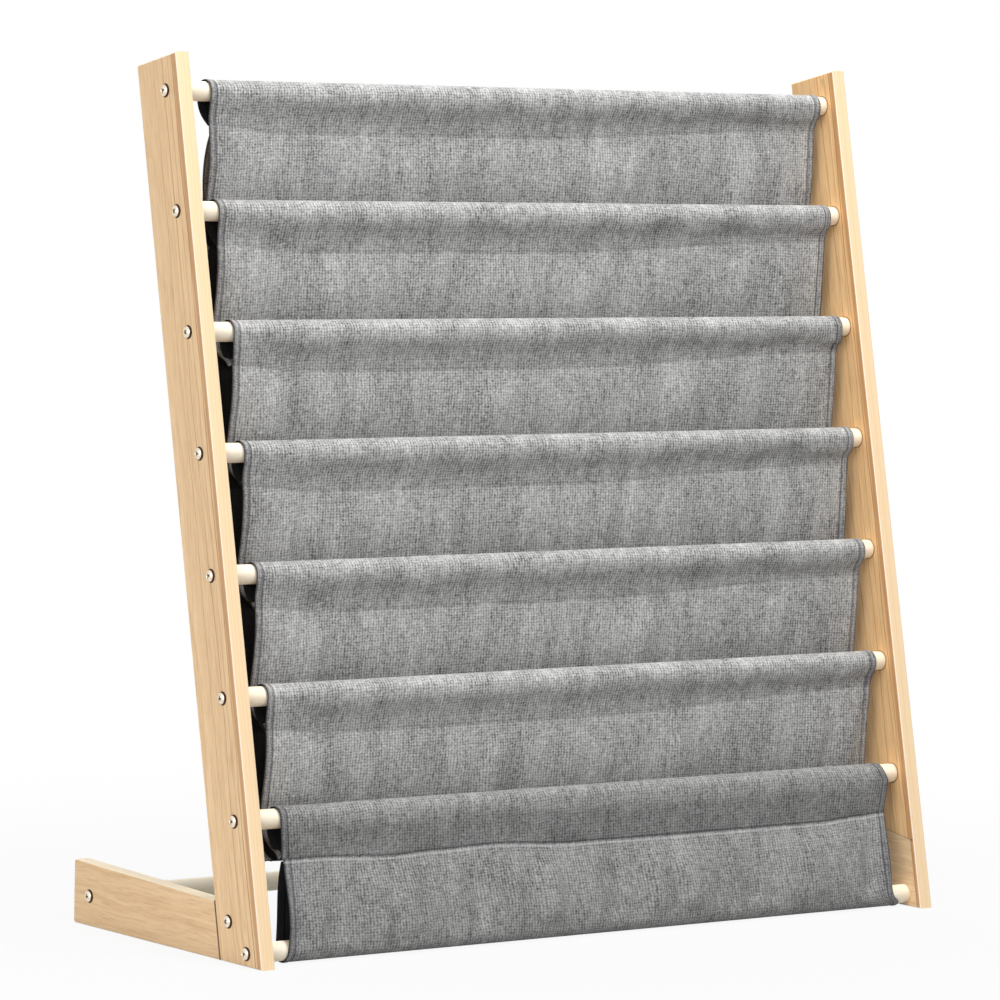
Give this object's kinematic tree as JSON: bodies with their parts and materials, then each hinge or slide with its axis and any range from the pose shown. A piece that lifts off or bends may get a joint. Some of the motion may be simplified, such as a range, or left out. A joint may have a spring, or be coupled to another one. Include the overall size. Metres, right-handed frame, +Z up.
{
  "type": "sling bookshelf",
  "caption": "Child's sling bookshelf: leaning pine uprights on rail feet, round cross dowels and a grey cloth sling that hangs in open book pockets.",
  "frame": {"origin": "on the floor, midway across the shelf and midway between the front of the uprights and the back of the feet", "axes": "+Z up, -Y is the front that the pockets face, +X to the right of someone who looks at the front"},
  "size_m": [0.954, 0.382, 0.9812],
  "materials": {
    "pine": "clear matt lacquer over planed pine, arrises rounded",
    "pale_pine": "fine sanded round dowel, clear matt lacquer",
    "screws": "satin plated, domed head with a cross recess",
    "sling_cloth": "matt grey plain weave with slubs, sewn hems"
  },
  "bodies": {
    "root": {"upright_left": "pine", "foot_left": "pine", "screw_left_1": "screws", "screw_left_2": "screws", "screw_left_3": "screws", "screw_left_4": "screws", "screw_left_5": "screws", "screw_left_6": "screws", "screw_left_7": "screws", "screw_left_8": "screws", "stretcher_screw_left": "screws", "joint_screw_left": "screws", "upright_right": "pine", "foot_right": "pine", "screw_right_1": "screws", "screw_right_2": "screws", "screw_right_3": "screws", "screw_right_4": "screws", "screw_right_5": "screws", "screw_right_6": "screws", "screw_right_7": "screws", "screw_right_8": "screws", "stretcher_screw_right": "screws", "joint_screw_right": "screws", "dowel_1": "pale_pine", "dowel_2": "pale_pine", "dowel_3": "pale_pine", "dowel_4": "pale_pine", "dowel_5": "pale_pine", "dowel_6": "pale_pine", "dowel_7": "pale_pine", "dowel_8": "pale_pine", "rear_stretcher": "pale_pine", "sling_sleeve_1": "sling_cloth", "sling_sleeve_2": "sling_cloth", "sling_sleeve_3": "sling_cloth", "sling_sleeve_4": "sling_cloth", "sling_sleeve_5": "sling_cloth", "sling_sleeve_6": "sling_cloth", "sling_sleeve_7": "sling_cloth", "sling_pocket_1": "sling_cloth", "sling_pocket_2": "sling_cloth", "sling_pocket_3": "sling_cloth", "sling_pocket_4": "sling_cloth", "sling_pocket_5": "sling_cloth", "sling_pocket_6": "sling_cloth", "sling_bottom_panel": "sling_cloth", "sling_back_layer": "sling_cloth"}
  },
  "joints": []
}
